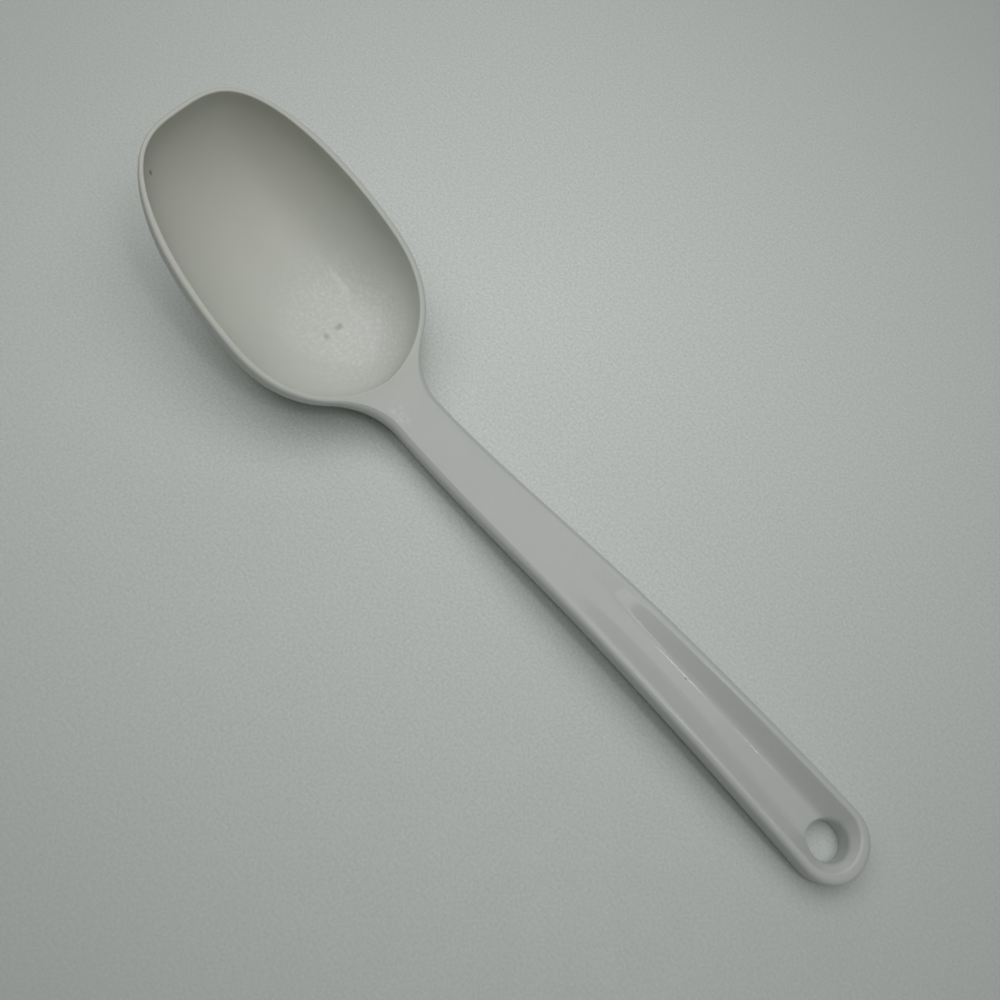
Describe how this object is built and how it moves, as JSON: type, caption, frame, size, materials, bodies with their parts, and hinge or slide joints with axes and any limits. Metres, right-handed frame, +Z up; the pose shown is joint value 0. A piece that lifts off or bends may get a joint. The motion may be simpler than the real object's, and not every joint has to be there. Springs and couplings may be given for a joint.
{
  "type": "serving spoon",
  "caption": "Long moulded kitchen spoon with a deep bowl that narrows to a broad tip, a waisted neck and an arched, troughed handle that ends in a round eye for hanging.",
  "frame": {"origin": "on the table plane, under the middle of the spoon's length and on its mirror plane", "axes": "+X along the spoon from the bowl's tip to the handle end, +Z up from the table it lies on, bowl opening upwards"},
  "size_m": [0.2854, 0.064, 0.0521],
  "materials": {
    "melamine": "off-white moulded plastic, satin gloss, lightly worn"
  },
  "bodies": {
    "root": {"bowl": "melamine", "rim": "melamine", "neck": "melamine", "handle": "melamine", "hanging_eye": "melamine"}
  },
  "joints": []
}
